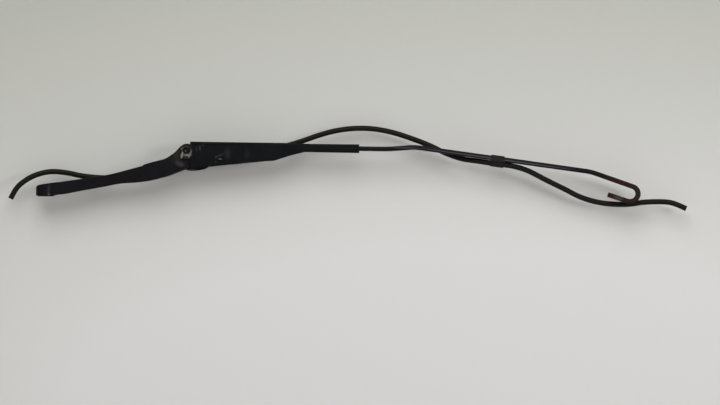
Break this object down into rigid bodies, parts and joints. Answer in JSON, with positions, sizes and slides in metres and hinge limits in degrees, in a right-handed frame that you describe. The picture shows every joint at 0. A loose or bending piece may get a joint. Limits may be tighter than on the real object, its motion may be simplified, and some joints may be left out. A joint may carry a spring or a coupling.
{
  "type": "windscreen wiper arm",
  "caption": "Windscreen wiper arm: a black cranked head hinged to a tapered sprung channel, a flat bar ending in a J hook for the blade, and a washer hose clipped along it.",
  "frame": {"origin": "on the spindle axis, at the underside of the boss", "axes": "+Z along the spindle away from the glass, +X along the arm towards the blade hook, -Y towards the side seen in the picture"},
  "size_m": [0.5852, 0.0251, 0.0738],
  "materials": {
    "head_paint": "satin black paint",
    "channel_paint": "satin black paint, worn to metal at the hinge",
    "bar_paint": "black paint, rusted at the hook",
    "pin_steel": "dark dirty steel",
    "bush_plastic": "natural nylon",
    "spring_wire": "oiled spring steel",
    "link_steel": "dark pressed steel",
    "clip_plastic": "black nylon",
    "hose_rubber": "matt black rubber"
  },
  "bodies": {
    "head": {"arm_head": "head_paint", "hinge_pin": "pin_steel", "link_pin": "pin_steel", "head_hose_clip": "clip_plastic", "washer_hose_feed": "hose_rubber"},
    "arm": {"channel": "channel_paint", "hook_bar": "bar_paint", "hinge_bush_left": "bush_plastic", "hinge_bush_right": "bush_plastic", "spring_anchor_pin": "pin_steel", "bar_hose_clip": "clip_plastic", "channel_hose_clip": "clip_plastic", "washer_hose_run": "hose_rubber"},
    "link": {"spring_link": "link_steel"},
    "spring": {"tension_spring": "spring_wire"}
  },
  "joints": [
    {"name": "arm_lift", "type": "hinge", "parent": "head", "child": "arm", "pos_m": [0.1214, 0, 0.0396], "axis": [0, -1, 0], "range_deg": [0, 65]},
    {"name": "link_swing", "type": "hinge", "parent": "head", "child": "link", "pos_m": [0.1122, 0, 0.0319], "axis": [0, -1, 0], "range_deg": [0, 57]},
    {"name": "spring_swing", "type": "hinge", "parent": "arm", "child": "spring", "pos_m": [0.1968, 0, 0.036], "axis": [0, -1, 0], "range_deg": [-8.5, 0]}
  ],
  "couplings": [
    {"joint": "link_swing", "follows": "arm_lift", "ratio": 0.872},
    {"joint": "spring_swing", "follows": "arm_lift", "ratio": -0.128}
  ]
}
